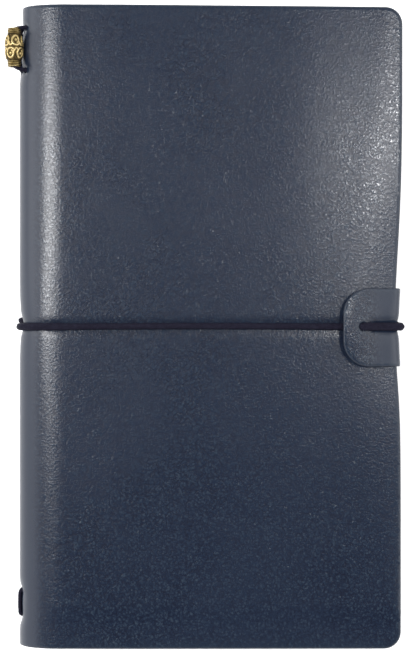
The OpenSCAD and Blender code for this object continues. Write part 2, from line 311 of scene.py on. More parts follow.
def leather_sheet(name, loops, lines_s, lines_y, place, materials, cut=None):
    """A sheet of leather: loops[0] is its outline, anticlockwise in (s, y), the others its
    holes, clockwise. place() gives the outer face. cut marks outline points on a plain cut
    where the next piece of the same sheet carries on."""
    loops = [np.array(loop, float) for loop in loops]
    flat, triangles, found = triangulated(sheet_points(loops, lines_s, lines_y), loops)
    outer, normal, along, thick, taut = place(flat[:, 0], flat[:, 1])
    count = len(flat)
    verts = [outer, outer - normal * thick[:, None]]
    faces = triangles.tolist() + (triangles[:, ::-1] + count).tolist()
    kinds = [0] * len(triangles) + [1] * len(triangles)
    across = np.array([0.0, 1.0, 0.0])
    rows = 6
    total = 2 * count
    start = 0
    sharp = set()
    for loop in loops:
        ids = np.array([found[start + i] for i in range(len(loop))])
        heading = flat[np.roll(ids, -1)] - flat[np.roll(ids, 1)]
        out = heading[:, 1][:, None] * along[ids] - heading[:, 0][:, None] * across
        out /= np.linalg.norm(out, axis=1)[:, None]
        stands = np.full(len(ids), HOLE_RIM if start else RIM)
        if cut is not None and start == 0:
            at_cut = cut(flat[ids])
            corner = at_cut & (np.abs(flat[ids, 1]) > np.abs(flat[:, 1]).max() - 0.05)
            stands[at_cut & ~corner] = 0
            out[corner] = across * np.sign(flat[ids[corner], 1])[:, None]
        previous = ids
        for angle in math.pi * np.arange(1, rows + 1) / rows:
            current = ids + count
            if angle < math.pi:
                depth = thick[ids] * (1 - math.cos(angle)) / 2
                beyond = out * (stands * math.sin(angle))[:, None]
                verts.append(outer[ids] - normal[ids] * depth[:, None] + beyond)
                current = total + np.arange(len(ids))
                total += len(ids)
            for i in range(len(ids)):
                j = (i + 1) % len(ids)
                faces.append([previous[i], previous[j], current[j], current[i]])
                kinds.append(2)
            previous = current
        for i in range(len(ids)):
            j = (i + 1) % len(ids)
            if stands[i] == 0 and stands[j] == 0:
                sharp |= {frozenset((ids[i], ids[j])), frozenset((ids[i] + count, ids[j] + count))}
        start += len(loop)
    verts = np.concatenate(verts)
    piece = new_mesh(name, verts, [list(map(int, f)) for f in faces], materials, kinds)
    if sharp:
        marks = [frozenset(e.vertices) in sharp for e in piece.data.edges]
        attribute = piece.data.attributes.new("sharp_edge", "BOOLEAN", "EDGE")
        attribute.data.foreach_set("value", marks)
    soft_rim = np.concatenate(loops)
    if cut is not None:
        soft_rim = soft_rim[~cut(soft_rim)]
    # painted sheen: the outer face is lightened within about a millimetre of its rounded rims, in place of
    # their glossy reflection
    painted_rim_sheen = np.exp(-clearance(flat, soft_rim) / 0.9)
    tight = np.clip(taut, -1, 1)
    on_rims = len(verts) - 2 * count
    point_value(piece, "painted_rim_sheen", np.concatenate([painted_rim_sheen, painted_rim_sheen, np.ones(on_rims)]))
    point_value(piece, "taut", np.concatenate([tight, tight, np.zeros(on_rims)]))
    return piece


def smooth_route(points, step):
    """A Catmull-Rom curve through points, sampled about every step millimetres."""
    points = np.array(points, float)
    ends = np.concatenate([[2 * points[0] - points[1]], points, [2 * points[-1] - points[-2]]])
    route = []
    for a, b, c, d in zip(ends[:-3], ends[1:-2], ends[2:-1], ends[3:]):
        gaps = [max(np.linalg.norm(q - p), 1e-3) ** 0.5 for p, q in ((a, b), (b, c), (c, d))]
        m1 = (c - b) + gaps[1] * ((b - a) / gaps[0] - (c - a) / (gaps[0] + gaps[1]))
        m2 = (c - b) + gaps[1] * ((d - c) / gaps[2] - (d - b) / (gaps[1] + gaps[2]))
        count = max(2, int(np.linalg.norm(c - b) / step))
        for t in np.linspace(0, 1, count, endpoint=False):
            from_b, from_m1 = 2 * t ** 3 - 3 * t ** 2 + 1, t ** 3 - 2 * t ** 2 + t
            from_c, from_m2 = 3 * t ** 2 - 2 * t ** 3, t ** 3 - t ** 2
            route.append(from_b * b + from_m1 * m1 + from_c * c + from_m2 * m2)
    route.append(points[-1])
    return np.array(route)


def braided_cord(name, points, radius, material, step=0.35, sides=20, flat_ends=(False, False)):
    """A round braided elastic along a route; radius is a number or a function of the route."""
    route = smooth_route(points, step)
    tangent = np.gradient(route, axis=0)
    tangent /= np.linalg.norm(tangent, axis=1)[:, None]
    side = np.cross(tangent[0], [0, 0, 1] if abs(tangent[0][2]) < 0.9 else [0, 1, 0])
    frames = []
    for t in tangent:
        side = side - t * (side @ t)
        side = side / np.linalg.norm(side)
        frames.append((side, np.cross(t, side)))
    run = np.concatenate([[0], np.cumsum(np.linalg.norm(np.diff(route, axis=0), axis=1))])
    size = radius(route) if callable(radius) else np.full(len(route), float(radius))
    turns = np.linspace(0, 2 * math.pi, sides, endpoint=False)
    strands, lay = 5, 2.1
    verts, faces = [], []
    left = np.minimum(run, run[-1] - run)
    for i, (centre, (u, v)) in enumerate(zip(route, frames)):
        weave = np.maximum(np.cos(strands * turns + run[i] * lay), np.cos(strands * turns - run[i] * lay))
        end = 1.0
        near_start = run[i] < run[-1] / 2
        if left[i] < size[i] and not flat_ends[0 if near_start else 1]:
            end = math.sqrt(max(0.04, 1 - (1 - left[i] / size[i]) ** 2))
        r = size[i] * end * (0.955 + 0.045 * weave)
        verts.append(centre + np.outer(r * np.cos(turns), u) + np.outer(r * np.sin(turns), v))
    rings = len(verts)
    for i in range(rings - 1):
        for k in range(sides):
            a, b = i * sides + k, i * sides + (k + 1) % sides
            faces.append([a, b, b + sides, a + sides])
    faces.append(list(range(sides)))
    faces.append(list(range((rings - 1) * sides, rings * sides)))
    return new_mesh(name, np.concatenate(verts), faces, [material])


def strips(name, paths, thickness, materials, kinds=None, ripple=0.04):
    """Thin bent sheets: each path is a centre line in X and Z, drawn out along Y."""
    rows = 14
    verts, faces, marks = [], [], []
    at = 0
    for index, path in enumerate(paths):
        path = np.array(path, float)
        tangent = np.gradient(path, axis=0)
        tangent /= np.linalg.norm(tangent, axis=1)[:, None]
        side = np.stack([-tangent[:, 1], tangent[:, 0]], axis=1) * thickness / 2
        loop = np.concatenate([path + side, (path - side)[::-1]])
        trim = RANDOM.uniform(-0.12, 0.12, 2)
        phase = RANDOM.uniform(0, 6.28)
        free = np.concatenate([np.linspace(0, 1, len(path)), np.linspace(1, 0, len(path))])
        for y in np.linspace(BOOK_LOW + trim[0], BOOK_HIGH + trim[1], rows):
            lift = ripple * math.sin(y / 19 + phase) * np.abs(2 * free - 1)
            verts.append(np.stack([loop[:, 0], np.full(len(loop), y), loop[:, 1] + lift], axis=1))
        size = len(loop)
        for r in range(rows - 1):
            for k in range(size):
                a, b = at + r * size + k, at + r * size + (k + 1) % size
                faces.append([a, b, b + size, a + size])
        for first in (at, at + (rows - 1) * size):
            faces += [[first + k, first + k + 1, first + size - 2 - k, first + size - 1 - k]
                      for k in range(len(path) - 1)]
        at += rows * size
        marks += [kinds[index] if kinds else 0] * (len(faces) - len(marks))
    piece = new_mesh(name, np.concatenate(verts), faces, materials, marks)
    piece.data.set_sharp_from_angle(angle=math.radians(40))
    return piece


# ---------------------------------------------------------------- materials

class Finish:
    """A material built from nodes, with short names for the nodes that it uses."""

    def __init__(self, name, **sockets):
        self.material = bpy.data.materials.new(name)
        self.material.use_nodes = True
        self.tree = self.material.node_tree
        self.shader = self.tree.nodes["Principled BSDF"]
        self.where = self.tree.nodes.new("ShaderNodeTexCoord").outputs["Object"]
        for socket, value in sockets.items():
            self.shader.inputs[socket.replace("_", " ")].default_value = value

    def put(self, value, socket):
        if isinstance(value, bpy.types.NodeSocket):
            self.tree.links.new(value, socket)
        elif value is not None:
            socket.default_value = value

    def node(self, kind, out=0, inputs=(), **settings):
        made = self.tree.nodes.new("ShaderNode" + kind)
        for key, value in settings.items():
            setattr(made, key, value)
        for key, value in dict(inputs).items():
            self.put(value, made.inputs[key])
        return made.outputs[out]

    def noise(self, scale, detail=2.0, rough=0.5, where=None, out=0):
        return self.node("TexNoise", out, {"Vector": where or self.where, "Scale": scale,
                                           "Detail": detail, "Roughness": rough})

    def math(self, operation, a, b=None):
        made = self.tree.nodes.new("ShaderNodeMath")
        made.operation = operation
        self.put(a, made.inputs[0])
        self.put(b, made.inputs[1])
        return made.outputs[0]

    def remap(self, value, low, high, to_low, to_high, kind="SMOOTHSTEP"):
        return self.node("MapRange", 0, {"Value": value, "From Min": low, "From Max": high,
                                         "To Min": to_low, "To Max": to_high}, interpolation_type=kind)

    def ramp(self, value, *stops):
        made = self.tree.nodes.new("ShaderNodeValToRGB")
        while len(made.color_ramp.elements) < len(stops):
            made.color_ramp.elements.new(0.5)
        for element, (place, colour) in zip(made.color_ramp.elements, stops):
            element.position = place
            element.color = (*colour, 1)
        self.put(value, made.inputs[0])
        return made.outputs[0]

    def mix(self, share, a, b, blend="MIX"):
        made = self.tree.nodes.new("ShaderNodeMix")
        made.data_type = "RGBA"
        made.blend_type = blend
        for value, name in ((share, "Factor_Float"), (a, "A_Color"), (b, "B_Color")):
            value = (*value, 1) if isinstance(value, tuple) else value
            self.put(value, next(s for s in made.inputs if s.identifier == name))
        return next(s for s in made.outputs if s.identifier == "Result_Color")

    def attribute(self, name):
        return self.node("Attribute", 2, attribute_name=name)

    def bump(self, height, strength, distance):
        return self.node("Bump", 0, {"Height": height, "Strength": strength, "Distance": distance})

    def finish(self, colour, rough, normal=None):
        self.put(colour, self.shader.inputs["Base Color"])
        self.put(rough, self.shader.inputs["Roughness"])
        if normal is not None:
            self.put(normal, self.shader.inputs["Normal"])
        return self.material


def warped(finish, scale, reach):
    """The texture place, pushed about by a noise so that cells lose their regular look."""
    push = finish.node("VectorMath", 0, {0: finish.noise(scale, 1, out=1), 1: (0.5, 0.5, 0.5)},
                       operation="SUBTRACT")
    push = finish.node("VectorMath", 0, {0: push, 3: reach}, operation="SCALE")
    return finish.node("VectorMath", 0, {0: finish.where, 1: push}, operation="ADD")


def navy_leather():
    """Pebbled leather, smoothed where it is taut, with painted light in its colour: painted glints on its
    pebble tops, painted shade in its creases and a painted sheen along its rims.
    """
    f = Finish("navy_leather", Specular_IOR_Level=0.5)
    where = warped(f, 1100, 0.0006)
    cells = f.node("TexVoronoi", 0, {"Vector": where, "Scale": 1150, "Randomness": 0.95}, feature="F1")
    shade = f.node("SeparateColor", 0, {"Color": cells.node.outputs[1]})
    pebble = f.remap(cells, 0.30, 0.66, 1.0, 0.0)
    wrinkle = f.remap(f.noise(1600, 3, 0.6), 0.42, 0.58, 0.0, 1.0)
    crease_cells = f.node("TexVoronoi", 0, {"Vector": where, "Scale": 420}, feature="DISTANCE_TO_EDGE")
    crease = f.remap(crease_cells, 0.0, 0.06, 0.3, 1.0)
    slack = f.remap(f.attribute("taut"), -1.0, 1.0, 1.75, 0.10, "LINEAR")
    height = f.math("ADD", f.math("MULTIPLY", pebble, 0.5), f.math("MULTIPLY", wrinkle, 0.5))
    height = f.math("MULTIPLY", f.math("MULTIPLY", height, crease), slack)
    broad = f.noise(38, 3)
    # painted light in the grain's colour: pebble tops and raised wrinkles are made lighter as painted
    # glints, over each cell's own random tone
    grain_tone_and_painted_light = f.math("MULTIPLY", pebble, f.remap(shade, 0.0, 1.0, 0.65, 1.1, "LINEAR"))
    grain_tone_and_painted_light = f.math("ADD", f.math("MULTIPLY", grain_tone_and_painted_light, 0.55), f.math("MULTIPLY", wrinkle, 0.45))
    # the creases darken the colour here as painted shade
    grain_tone_and_painted_light = f.math("MULTIPLY", grain_tone_and_painted_light, crease)
    grain_tone_and_painted_light = f.math("ADD", f.math("MULTIPLY", f.math("SUBTRACT", grain_tone_and_painted_light, 0.5), slack), 0.5)
    colour = f.ramp(grain_tone_and_painted_light, (0.0, (0.0016, 0.0040, 0.0150)), (0.5, (0.0092, 0.0160, 0.0335)),
                    (1.0, (0.0300, 0.0430, 0.0620)))
    colour = f.mix(f.remap(broad, 0.3, 0.7, 0.0, 0.25), colour, (0.0115, 0.0190, 0.0390))
    # painted sheen along the rims, standing in for their glossy reflection
    colour = f.mix(f.math("MULTIPLY", f.attribute("painted_rim_sheen"), 0.4), colour, (0.018, 0.030, 0.046))
    rough = f.math("ADD", f.remap(height, 0, 1, 0.29, 0.13), f.remap(broad, 0.2, 0.8, -0.01, 0.01))
    return f.finish(colour, rough, f.bump(height, 1.0, 0.000024))


def leather_lining():
    f = Finish("leather_lining", Specular_IOR_Level=0.25, Sheen_Weight=0.25, Sheen_Roughness=0.5)
    nap = f.noise(2600, 4, 0.7)
    broad = f.noise(60, 3)
    colour = f.mix(f.remap(broad, 0.3, 0.7, 0, 1), (0.016, 0.021, 0.036), (0.026, 0.033, 0.052))
    colour = f.mix(f.remap(nap, 0.35, 0.65, 0, 0.5), colour, (0.038, 0.046, 0.070))
    return f.finish(colour, f.remap(nap, 0, 1, 0.95, 0.8), f.bump(nap, 0.5, 0.00015))


def cut_edge():
    f = Finish("cut_edge", Specular_IOR_Level=0.4)
    fibre = f.noise(1500, 4, 0.7)
    colour = f.mix(fibre, (0.006, 0.010, 0.020), (0.028, 0.036, 0.055))
    return f.finish(colour, f.remap(fibre, 0.3, 0.7, 0.42, 0.62), f.bump(fibre, 0.35, 0.00012))


def elastic():
    f = Finish("elastic", Specular_IOR_Level=0.1)
    yarn = f.noise(5200, 3, 0.6)
    slub = f.noise(900, 2)
    colour = f.mix(f.remap(yarn, 0.35, 0.7, 0, 1), (0.0022, 0.0018, 0.0060), (0.0140, 0.0125, 0.0270))
    colour = f.mix(f.remap(slub, 0.4, 0.7, 0, 0.4), colour, (0.0150, 0.0155, 0.0280))
    return f.finish(colour, f.remap(yarn, 0.3, 0.7, 0.8, 0.65), f.bump(yarn, 0.4, 0.0001))


def bronze():
    f = Finish("bronze", Metallic=1.0, Specular_IOR_Level=0.5)
    relief = f.attribute("relief")
    patina = f.noise(1400, 4, 0.65)
    share = f.math("ADD", relief, f.remap(patina, 0.3, 0.7, -0.16, 0.16))
    colour = f.ramp(share, (0.0, (0.030, 0.022, 0.012)), (0.35, (0.16, 0.115, 0.045)),
                    (0.7, (0.38, 0.285, 0.115)), (1.0, (0.62, 0.49, 0.25)))
    rough = f.remap(share, 0.0, 1.0, 0.62, 0.32)
    return f.finish(colour, rough, f.bump(patina, 0.3, 0.00006))


def paper(name, ruled=False):
    f = Finish(name, Specular_IOR_Level=0.2)
    fibre = f.noise(1700, 4, 0.6)
    broad = f.noise(22, 2)
    colour = f.mix(fibre, (0.50, 0.455, 0.36), (0.57, 0.53, 0.435))
    colour = f.mix(f.remap(broad, 0.35, 0.65, 0, 0.25), colour, (0.46, 0.41, 0.31))
    if ruled:
        row_gap, column_gap = 0.0035, 0.009
        table_h, table_w = 0.0795, 0.0492          # half the height and width of the ruled table
        x = f.node("SeparateXYZ", 0, {"Vector": f.where})
        y = x.node.outputs[1]
        rows = f.remap(f.math("PINGPONG", y, row_gap), 0.00005, 0.00013, 1, 0)
        columns = f.math("PINGPONG", f.math("ADD", x, 0.0048), column_gap)
        columns = f.remap(columns, 0.00004, 0.00012, 1, 0)
        within = f.remap(f.math("ABSOLUTE", f.math("SUBTRACT", y, 0.0019)), table_h, table_h + 0.0001, 1, 0)
        right, left = [f.remap(f.math("ABSOLUTE", f.math("ADD", x, shift)), table_w, table_w + 0.0001, 1, 0)
                       for shift in (0.0008, 0.1088)]
        ink = f.math("MULTIPLY", f.math("MAXIMUM", rows, columns), within)
        ink = f.math("MULTIPLY", ink, f.math("MAXIMUM", right, left))
        colour = f.mix(f.math("MULTIPLY", ink, 0.55), colour, (0.20, 0.26, 0.33))
    return f.finish(colour, 0.85, f.bump(fibre, 0.25, 0.00006))


def kraft_card():
    f = Finish("kraft_card", Specular_IOR_Level=0.2)
    fibre = f.noise(900, 5, 0.7)
    fleck = f.node("TexVoronoi", 0, {"Vector": warped(f, 500, 0.002), "Scale": 330, "Randomness": 1.0})
    colour = f.mix(fibre, (0.27, 0.165, 0.085), (0.43, 0.29, 0.165))
    colour = f.mix(f.remap(fleck, 0.0, 0.16, 0.5, 0), colour, (0.15, 0.09, 0.05))
    return f.finish(colour, 0.8, f.bump(fibre, 0.3, 0.00008))


def staple_wire():
    f = Finish("staple_wire", Metallic=1.0)
    drawn = f.noise(3000, 2)
    colour = f.mix(drawn, (0.52, 0.52, 0.54), (0.72, 0.72, 0.73))
    return f.finish(colour, f.remap(drawn, 0.3, 0.7, 0.25, 0.4), f.bump(drawn, 0.2, 0.00003))


def pale_floor():
    f = Finish("pale_floor", Specular_IOR_Level=0.1, Emission_Color=(1, 1, 1, 1), Emission_Strength=0.4)
    grain = f.noise(300, 2)
    colour = f.mix(grain, (0.90, 0.90, 0.905), (0.93, 0.93, 0.935))
    return f.finish(colour, 0.9)


LEATHER_SET = [navy_leather(), leather_lining(), cut_edge()]
ELASTIC = elastic()
BRONZE = bronze()
PAPER = paper("paper")
RULED = paper("ruled_paper", ruled=True)
KRAFT = kraft_card()
STEEL = staple_wire()


# ---------------------------------------------------------------- cover

def spine_round(sign):
    """The outer face from the middle of the spine to where it meets a flat cover."""
    turns = np.radians(np.linspace(0, 90, 90))
    return [(ROUND_X - ROUND_W * abs(math.cos(t)) ** (2 / ROUND_POWER),
             MID_Z + sign * MID_Z * math.sin(t) ** (2 / ROUND_POWER)) for t in turns]


def loop_holes(path, above):
    """The spine elastics' holes in one half of the cover: arc length, Y and depth of pucker."""
    places = [(LOOP_Z[k], y) for k in LOOP_Z for y in HEAD_HOLES]
    places += [(TAIL_Z[k], y) for k in LOOP_Z for y in TAIL_HOLES]
    return [(s_at_height(path, z), y, 0.3) for z, y in places if (z > MID_Z) == above]


def drawn_in(s, y):
    """How far the elastics pull the spine in, by arc length from the middle of the spine."""
    head = 0.95 * smooth((y - 79) / 14) * bell(s, 5)        # the spine narrows towards the head
    tail_run = smooth((y - TAIL_HOLES[1] + 4.5) / 4) * smooth((TAIL_HOLES[0] + 3.5 - y) / 4)
    head_run = smooth((y - HEAD_HOLES[1] + 5) / 5) * smooth((HEAD_HOLES[0] + 3 - y) / 4)
    band = 0.5 * bell(y - 1, 7) * bell(s, 7) + 0.75 * bell(y - 0.9, 2.6) * bell(s, 4.5)
    return head + 0.75 * tail_run * bell(s, 5) + 0.25 * head_run * bell(s - 3, 6) + band


def cover_lines(path):
    """Grid lines along a cover half, closer together over the spine's rounding."""
    round_length = 27
    return np.concatenate([np.arange(0, round_length, 0.85), np.arange(round_length, path.length, 2.6)])


def lines_across(fine):
    """Grid lines in Y: coarse ones all over, and the finer ones given."""
    coarse = np.arange(-HALF_H + 1.3, HALF_H - 1, 2.6)
    return np.unique(np.round(np.concatenate([coarse, fine]), 3))


def round_hole(s, y, r, count=14):
    """A hole's loop, clockwise."""
    turns = np.linspace(0, -2 * math.pi, count, endpoint=False)
    return np.stack([s + r * np.cos(turns), y + r * np.sin(turns)], axis=1)


def s_at_height(path, z):
    """Arc length at which the spine's rounding reaches a height."""
    samples = np.linspace(0, path.length * 0.4, 4000)
    x, height, *_ = path(samples)
    near_spine = x < ROUND_X
    return samples[near_spine][np.argmin(np.abs(height[near_spine] - z))]


def hem(length, y):
    """Points along a head or tail edge, from the cut at s = 0."""
    return [(s, y) for s in np.arange(0, length - 0.8, EDGE_STEP)]


def cut_line(half):
    """Points down the cut at s = 0."""
    return [(0.0, y) for y in np.arange(half, -half, -EDGE_STEP)[1:]]


def board_outline(path, start_x=None):
    """Outline of a cover half in (s, y), from its cut at s = 0 to its fore-edge."""
    half = HALF_H - RIM
    s_of = path.s_of_x if start_x is None else (lambda x: x - start_x)
    y = np.arange(-half + CORNER_R, half - CORNER_R + 0.1, EDGE_STEP)
    fore = [(float(s_of(edge_x(v))), v) for v in y]
    corners = []
    for sign in (-1, 1):
        centre_x = edge_x(sign * half) - CORNER_R
        turns = np.radians(np.linspace(-90, 0, 8) if sign < 0 else np.linspace(0, 90, 8))
        corners.append([(float(s_of(centre_x + CORNER_R * math.cos(t))),
                         sign * (half - CORNER_R) + CORNER_R * math.sin(t)) for t in turns])
    tail = hem(corners[0][0][0], -half)
    head = hem(corners[1][-1][0], half)[::-1]
    return tail + corners[0] + fore[1:-1] + corners[1] + head + cut_line(half)


def at_split(points):
    """Which outline points lie on the cut at s = 0."""
    return points[:, 0] < 1e-6


def pucker(s, y, holes):
    """Leather drawn in round each hole that an elastic runs through."""
    depth = np.zeros_like(s)
    for hole_s, hole_y, pull in holes:
        depth -= pull * bell(np.hypot(s - hole_s, y - hole_y), 2.1)
    return depth


def front_half():
    """The front cover with the upper half of the spine."""
    flat_x = np.arange(ROUND_X + 1, EDGE_X + 3, 1.0)
    path = profile(spine_round(1) + [(x, front_top(x) - swell(x, 0)) for x in flat_x], 1)
    bead_y = (bead_low[1] + bead_high[1]) / 2
    holes = loop_holes(path, True)
    band_hole = (s_at_height(path, BAND_FRONT[1]), BAND_FRONT[0], 0.2)

    def place(s, y):
        spot = path(s)
        x = spot[0]
        rise = swell(x, y) * smooth((x - SPINE_X - 3) / 12) + pucker(s, y, holes + [band_hole])
        rise = rise + 0.25 * bell(x + 55, 4) * bell(y + 6, 24) - drawn_in(s, y)
        rise = rise + 1.15 * bell(s - 6.0, 2.8) * bell(y - bead_y, 6.5)
        rise = rise - 0.22 * bell(y, 1.7) * smooth((s - band_hole[0]) / 2) * smooth((ROUND_X + 4 - x) / 8)
        creep = SKEW * np.maximum(0, x - ROUND_X)
        taut = smooth((-53 - x) / 4) + 0.5 * smooth((x - 55) / 4) * bell(y, 45)
        return *on_path(spot, rise, y - creep), np.full(len(s), LEATHER), taut

    loops = [board_outline(path)] + [round_hole(s, y, 1.0) for s, y, _ in holes]
    loops.append(round_hole(band_hole[0], band_hole[1], 1.25))
    fine = np.arange(-4.9, 5, 0.7)
    piece = leather_sheet("cover_front_half", loops, cover_lines(path), lines_across(fine),
                          place, LEATHER_SET, cut=at_split)
    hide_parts("front_cover", "cover_spine")
    return piece


def band_back_y(x):
    """Y of the band under the back cover: it runs aslant from its hole to the fore-edge."""
    share = np.clip((x - ROUND_X) / (STRAP_X - ROUND_X), 0, 1)
    return BAND_BACK[0] + (BAND_EDGE_Y - BAND_BACK[0]) * share


def groove(x, y):
    """The channel that the band's back run lies in, 0 to 1."""
    return bell(y - band_back_y(x), 1.75) ** 0.8


def back_spine_half():
    """The lower half of the spine with the spine half of the back cover."""
    path = profile(spine_round(-1) + line((ROUND_X + 1, 0), (0, 0)), -1)
    holes = loop_holes(path, False)
    band_hole = (s_at_height(path, BAND_BACK[1]), BAND_BACK[0], 0.2)

    def place(s, y):
        spot = path(s)
        x = spot[0]
        under = groove(x, y) * smooth((x + 59) / 6)
        rise = pucker(s, y, holes + [band_hole]) - BAND_SUNK * under - drawn_in(s, y)
        return *on_path(spot, rise, y), LEATHER - THINNED * under, smooth((-53 - x) / 4)

    half = HALF_H - RIM
    tail, head = hem(path.length, -half), hem(path.length, half)[::-1]
    far = [(path.length, y) for y in np.arange(-half, half + 0.01, EDGE_STEP)]
    loops = [tail + far + [(path.length, half)] + head + cut_line(half)]
    loops += [round_hole(s, y, 1.0) for s, y, _ in holes]
    loops.append(round_hole(band_hole[0], band_hole[1], 1.25))
    fine = np.arange(-2.5, 6.5, 0.6)
    cut = lambda p: (p[:, 0] < 1e-6) | (p[:, 0] > path.length - 1e-6)
    piece = leather_sheet("cover_back_spine_half", loops, cover_lines(path), lines_across(fine),
                          place, LEATHER_SET, cut=cut)
    return piece


def tab_lift(x, y):
    """How far the flap stands above the front cover, over the band that runs under its tip."""
    ridge = np.exp(-(np.sqrt(y ** 2 + 1) - 1) / 12)         # sharpest over the band
    rise = smooth((TAB_BEND_X + 0.5 - x) / (TAB_BEND_X - HOLE_X + 7))
    tip = 0.4 * smooth((HOLE_X - 6 - x) / 2.5)
    pressed = 0.8 * bell(y, 1.6) * smooth((x - HOLE_X - 0.5) / 3)
    return TAB_GAP + rise * (1.3 + 1.4 * ridge) - tip - pressed


def tab_outline(outline, tip_s):
    """The outline of a cover half with the tab added to its fore-edge."""
    half = TAB_HALF - RIM
    fillet, step = 1.6, 1.2
    low_y, high_y = TAB_Y - half - fillet, TAB_Y + half + fillet
    below = [p for p in outline if p[1] < low_y and p[0] > 1e-6]
    above = [p for p in outline if p[1] > high_y and p[0] > 1e-6]
    split = [p for p in outline if p[0] <= 1e-6]
    inner_low = [(float(edge_x(low_y)) + fillet - fillet * math.cos(t), low_y + fillet * math.sin(t))
                 for t in np.radians(np.linspace(0, 90, 5))]
    inner_high = [(float(edge_x(high_y)) + fillet - fillet * math.cos(t), high_y - fillet * math.sin(t))
                  for t in np.radians(np.linspace(90, 0, 5))]
    round_s = tip_s - TAB_END_R
    low_edge = [(s, TAB_Y - half) for s in np.arange(inner_low[-1][0] + step, round_s - step / 2, step)]
    high_edge = [(s, TAB_Y + half) for s in np.arange(inner_high[0][0] + step, round_s - step / 2, step)]
    low_end = [(round_s + TAB_END_R * math.sin(t), TAB_Y - half + TAB_END_R * (1 - math.cos(t)))
               for t in np.radians(np.linspace(0, 90, 12))]
    high_end = [(s, 2 * TAB_Y - y) for s, y in low_end[::-1]]
    end_half = half - TAB_END_R
    tip = [(tip_s, TAB_Y + y) for y in np.arange(step - end_half, end_half - step / 2, step)]
    flap = low_edge + low_end + tip + high_end + high_edge[::-1]
    return below + inner_low + flap + inner_high + above + split


def back_fore_half():
    """The fore part of the back cover, with the tab that is cut in one with it."""
    flat_end = STRAP_X - FOOT_BEND
    bend_z = fold_centre_z()
    flap_z = bend_z + TAB_BEND
    board = line((0, 0), (flat_end, 0)) + arc(flat_end, FOOT_BEND, FOOT_BEND, -90, 0)
    strap = line((STRAP_X, FOOT_BEND + 0.3), (STRAP_X, bend_z - 0.2))
    fold = arc(TAB_BEND_X, bend_z, TAB_BEND, 0, 90)
    flap = line((TAB_BEND_X - 0.3, flap_z), (TAB_TIP - 1, flap_z))
    path = profile(board + strap + fold + flap, -1)
    fold_s = flat_end + FOOT_BEND * math.pi / 2 + (bend_z - FOOT_BEND) + TAB_BEND * math.pi / 2
    tip_s = fold_s + TAB_BEND_X - TAB_TIP - RIM
    hole_s = fold_s + TAB_BEND_X - HOLE_X

    def place(s, y):
        x, z, tx, tz, nx, nz = path(s)
        board = (np.abs(y - TAB_Y) > TAB_HALF + 0.9) & (s > flat_end)
        x, z = np.where(board, s, x), np.where(board, 0, z)
        tx, tz, nx, nz = (np.where(board, v, w) for v, w in ((1, tx), (0, tz), (0, nx), (-1, nz)))
        under = groove(x, y) * smooth((flat_end + 3 - s) / 3)
        wall = smooth((s - flat_end) / 3) * smooth((fold_s - s) / 2) * ~board
        pressed = (0.35 * bell(y, 7) + 0.75 * bell(y, 2.2)) * smooth((s - flat_end - 4) / 6)
        pressed = pressed * smooth((fold_s + 1.5 - s) / 3)
        rise = -BAND_SUNK * under - pressed + 0.12 * wall * bell(np.abs(y - TAB_Y) - TAB_HALF, 3)
        slope = front_top(x, y * 0.6) - front_top(np.full_like(x, TAB_BEND_X))
        follow = (slope + tab_lift(x, y) - TAB_GAP) * smooth((s - fold_s + 1.2) / 2.4)
        thick = LEATHER + (TAB_T - LEATHER) * smooth((s - flat_end + 2) / 4) * ~board - THINNED * under
        taut = smooth((s - flat_end) / 2) * (1 - 1.8 * smooth((s - hole_s + 7) / 6)) * ~board
        return *on_path((x, z, tx, tz, nx, nz), rise, y, follow), thick, taut

    loop = tab_outline(board_outline(path, start_x=0), tip_s)
    hole = round_hole(hole_s, 0.0, HOLE_R, 20)
    lines_s = np.concatenate([np.arange(1.3, flat_end - 2, 2.6), np.arange(flat_end - 2, tip_s, 0.8)])
    fine = np.arange(-TAB_HALF, TAB_HALF, 0.8)
    piece = leather_sheet("cover_back_fore_half", [loop, hole], lines_s, lines_across(fine), place,
                          LEATHER_SET, cut=at_split)
    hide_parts("back_cover", "closure_strap", "closure_tab")
    return piece


# ---------------------------------------------------------------- elastics

def loop_route(fold_z, head_z, tail_z, outside):
    """The route of one spine elastic, as on the frame: down the fold, up behind the spine."""
    fold_x, back_x, in_x = FOLD_X + 1.9, SPINE_X + 3.25, SPINE_X + 2.6
    head, head_low = HEAD_HOLES
    tail_high, tail = TAIL_HOLES
    head_mid, tail_mid = (fold_z + head_z) / 2, (fold_z + tail_z) / 2

    def bridge(y0, y1, z0, out=None):
        """The run outside the spine, from one hole to the next."""
        side = math.copysign(1, y1 - y0)
        skin = round_x(z0) + float(drawn_in(abs(z0 - MID_Z), np.array((y0 + y1) / 2)))
        x, z = out or (skin - CORD_R + 0.12, z0)
        near = ((x + skin) / 2 - 0.1, (z + z0) / 2)
        return [(skin + 0.4, y0, z0), (near[0], y0 + 0.3 * side, near[1]), (x, y0 + 1.3 * side, z),
                (x - 0.08, (y0 + y1) / 2, z), (x, y1 - 1.3 * side, z),
                (near[0], y1 - 0.3 * side, near[1]), (skin + 0.4, y1, z0)]

    down_fold = [(fold_x, 19.7, fold_z), (fold_x, -40, fold_z), (fold_x, tail + 0.9, fold_z)]
    out_at_tail = [(fold_x - 0.9, tail, fold_z), (in_x + 1, tail - 0.1, tail_mid), (in_x, tail, tail_z)]
    up_spine = [(in_x, tail_high, tail_z), (back_x, tail_high + 2.5, tail_z),
                (back_x, tail_high + 16, head_z), (back_x, 0, head_z),
                (back_x, head_low - 1.6, head_z), (in_x, head_low, head_z)]
    back_in = [(in_x, head, head_z), (in_x + 1, head + 0.1, head_mid), (fold_x - 0.9, head, fold_z),
               (fold_x, head - 0.9, fold_z), (fold_x, 20, fold_z)]
    return (down_fold + out_at_tail + bridge(tail, tail_high, tail_z) + up_spine
            + bridge(head_low, head, head_z, outside) + back_in)


